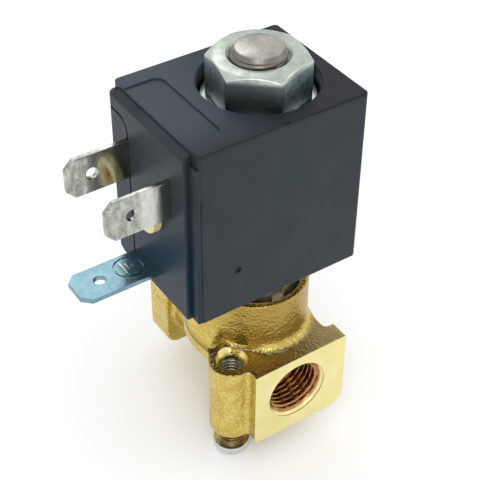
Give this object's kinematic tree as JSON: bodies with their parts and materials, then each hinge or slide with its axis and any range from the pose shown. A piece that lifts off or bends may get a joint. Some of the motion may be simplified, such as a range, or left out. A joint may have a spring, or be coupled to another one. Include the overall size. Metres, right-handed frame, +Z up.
{
  "type": "solenoid valve",
  "caption": "Direct-acting solenoid valve: forged brass body with in-line threaded ports and a square moulded coil with flat terminals, held by a hex nut.",
  "frame": {"origin": "on the valve axis, at the flat underside of the brass body", "axes": "+Z up the valve axis towards the nut, -X out of the terminal face, -Y out of the outlet port, +Y out of the inlet port"},
  "size_m": [0.0424, 0.0318, 0.0694],
  "materials": {
    "forged_brass": "sand-textured forging with machined faces",
    "flange_steel": "turned",
    "stainless": "turned",
    "copper": "enamelled copper",
    "black_rubber": "matt",
    "zinc_plate": "clear zinc plate",
    "screw_steel": "bright zinc plate",
    "black_moulding": "fine moulded texture",
    "ivory_plastic": "moulded",
    "insulation_tape": "satin film",
    "yoke_steel": "zinc plated strip",
    "tinned_brass": "tin plate, smudged",
    "earth_plate": "bright tin plate",
    "turned_brass": "turned",
    "spring_steel": "drawn wire"
  },
  "bodies": {
    "valve": {"valve_body": "forged_brass", "guide_flange": "flange_steel", "guide_tube": "stainless", "fixed_core": "stainless", "shading_ring": "copper", "body_seal": "black_rubber", "coil_nut": "zinc_plate", "nut_washer": "zinc_plate", "bracket_screws": "screw_steel"},
    "coil": {"coil_housing": "black_moulding", "bobbin": "ivory_plastic", "winding": "copper", "winding_tape": "insulation_tape", "yoke_frame": "yoke_steel", "terminal_line": "tinned_brass", "terminal_neutral": "tinned_brass", "terminal_earth": "earth_plate", "plug_insert": "turned_brass", "lead_line": "copper", "lead_neutral": "copper"},
    "armature": {"plunger": "stainless", "plunger_seal": "black_rubber", "return_spring": "spring_steel"}
  },
  "joints": [
    {"name": "coil_swivel", "type": "hinge", "parent": "valve", "child": "coil", "pos_m": [0, 0, 0.0448], "axis": [0, 0, 1], "continuous": true},
    {"name": "plunger_lift", "type": "slide", "parent": "valve", "child": "armature", "axis": [0, 0, 1], "range_m": [0, 0.0012], "stiffness_N_per_m": 300, "springref_m": -0.004, "deforming": ["return_spring"]}
  ]
}
